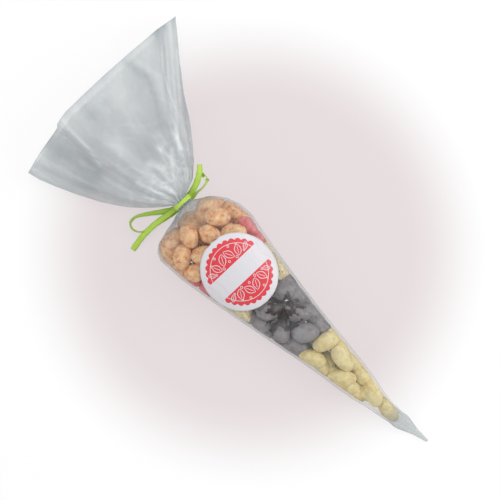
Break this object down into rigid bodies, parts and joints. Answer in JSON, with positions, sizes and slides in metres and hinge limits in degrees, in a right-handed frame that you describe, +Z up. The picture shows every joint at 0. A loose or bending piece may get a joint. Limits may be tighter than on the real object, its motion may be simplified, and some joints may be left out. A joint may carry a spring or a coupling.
{
  "type": "gift cone",
  "caption": "Clear film cone bag filled with coated nuts, gathered at the top and tied with a flat ribbon bow, with a round paper label; it lies on its back.",
  "frame": {"origin": "on the flat underside that the pack lies on, 185 mm from the tip", "axes": "+X along the pack towards the tip, +Y across it, +Z up from the table through the label"},
  "size_m": [0.371, 0.1635, 0.0477],
  "materials": {
    "clear_film": "clear gloss plastic film",
    "label_paper": "white paper printed red",
    "ribbon_paper": "flat lime green ribbon",
    "yellow_coating": "cream yellow sugar coating",
    "dark_coating": "dark chocolate coating",
    "speckled_coating": "cream coating with dark specks",
    "pink_coating": "pink sugar coating",
    "brown_coating": "brown candied coating"
  },
  "bodies": {
    "root": {"film_cone": "clear_film", "ribbon": "ribbon_paper", "round_label": "label_paper", "brown_nut_01": "brown_coating", "brown_nut_02": "brown_coating", "brown_nut_03": "brown_coating", "brown_nut_04": "brown_coating", "brown_nut_05": "brown_coating", "brown_nut_06": "brown_coating", "brown_nut_07": "brown_coating", "brown_nut_08": "brown_coating", "brown_nut_09": "brown_coating", "brown_nut_10": "brown_coating", "brown_nut_11": "brown_coating", "brown_nut_12": "brown_coating", "brown_nut_13": "brown_coating", "brown_nut_14": "brown_coating", "brown_nut_15": "brown_coating", "brown_nuts_under": "brown_coating", "dark_nut_01": "dark_coating", "dark_nut_02": "dark_coating", "dark_nut_03": "dark_coating", "dark_nut_04": "dark_coating", "dark_nut_05": "dark_coating", "dark_nut_06": "dark_coating", "dark_nut_07": "dark_coating", "dark_nut_08": "dark_coating", "dark_nut_09": "dark_coating", "dark_nut_10": "dark_coating", "dark_nuts_under": "dark_coating", "pink_nut_01": "pink_coating", "pink_nut_02": "pink_coating", "pink_nut_03": "pink_coating", "pink_nut_04": "pink_coating", "pink_nut_05": "pink_coating", "pink_nut_06": "pink_coating", "pink_nuts_under": "pink_coating", "speckled_nut_01": "speckled_coating", "speckled_nut_02": "speckled_coating", "speckled_nut_03": "speckled_coating", "speckled_nut_04": "speckled_coating", "speckled_nut_05": "speckled_coating", "speckled_nut_06": "speckled_coating", "speckled_nut_07": "speckled_coating", "speckled_nut_08": "speckled_coating", "speckled_nut_09": "speckled_coating", "speckled_nuts_under": "speckled_coating", "yellow_nut_01": "yellow_coating", "yellow_nut_02": "yellow_coating", "yellow_nut_03": "yellow_coating", "yellow_nut_04": "yellow_coating", "yellow_nut_05": "yellow_coating", "yellow_nut_06": "yellow_coating", "yellow_nut_07": "yellow_coating", "yellow_nut_08": "yellow_coating", "yellow_nut_09": "yellow_coating", "yellow_nut_10": "yellow_coating"}
  },
  "joints": []
}
